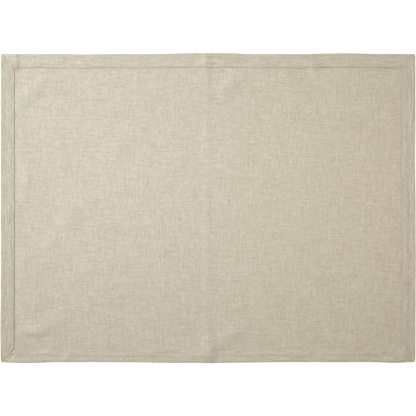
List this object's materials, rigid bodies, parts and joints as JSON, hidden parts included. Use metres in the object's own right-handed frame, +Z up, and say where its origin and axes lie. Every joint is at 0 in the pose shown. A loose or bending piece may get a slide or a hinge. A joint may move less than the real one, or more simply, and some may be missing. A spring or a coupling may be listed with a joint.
{
  "type": "linen placemat",
  "caption": "Rectangular placemat of natural linen lying flat, with a turned hem, mitred corners and a soft centre fold.",
  "frame": {"origin": "on the table, under the middle of the cloth", "axes": "+X along the long side, +Y towards the far edge, +Z up from the table; the hem is turned to the upper side"},
  "size_m": [0.4808, 0.3589, 0.004],
  "materials": {
    "linen": "matt natural slubby linen, plain weave"
  },
  "bodies": {
    "root": {"cloth": "linen"}
  },
  "joints": []
}
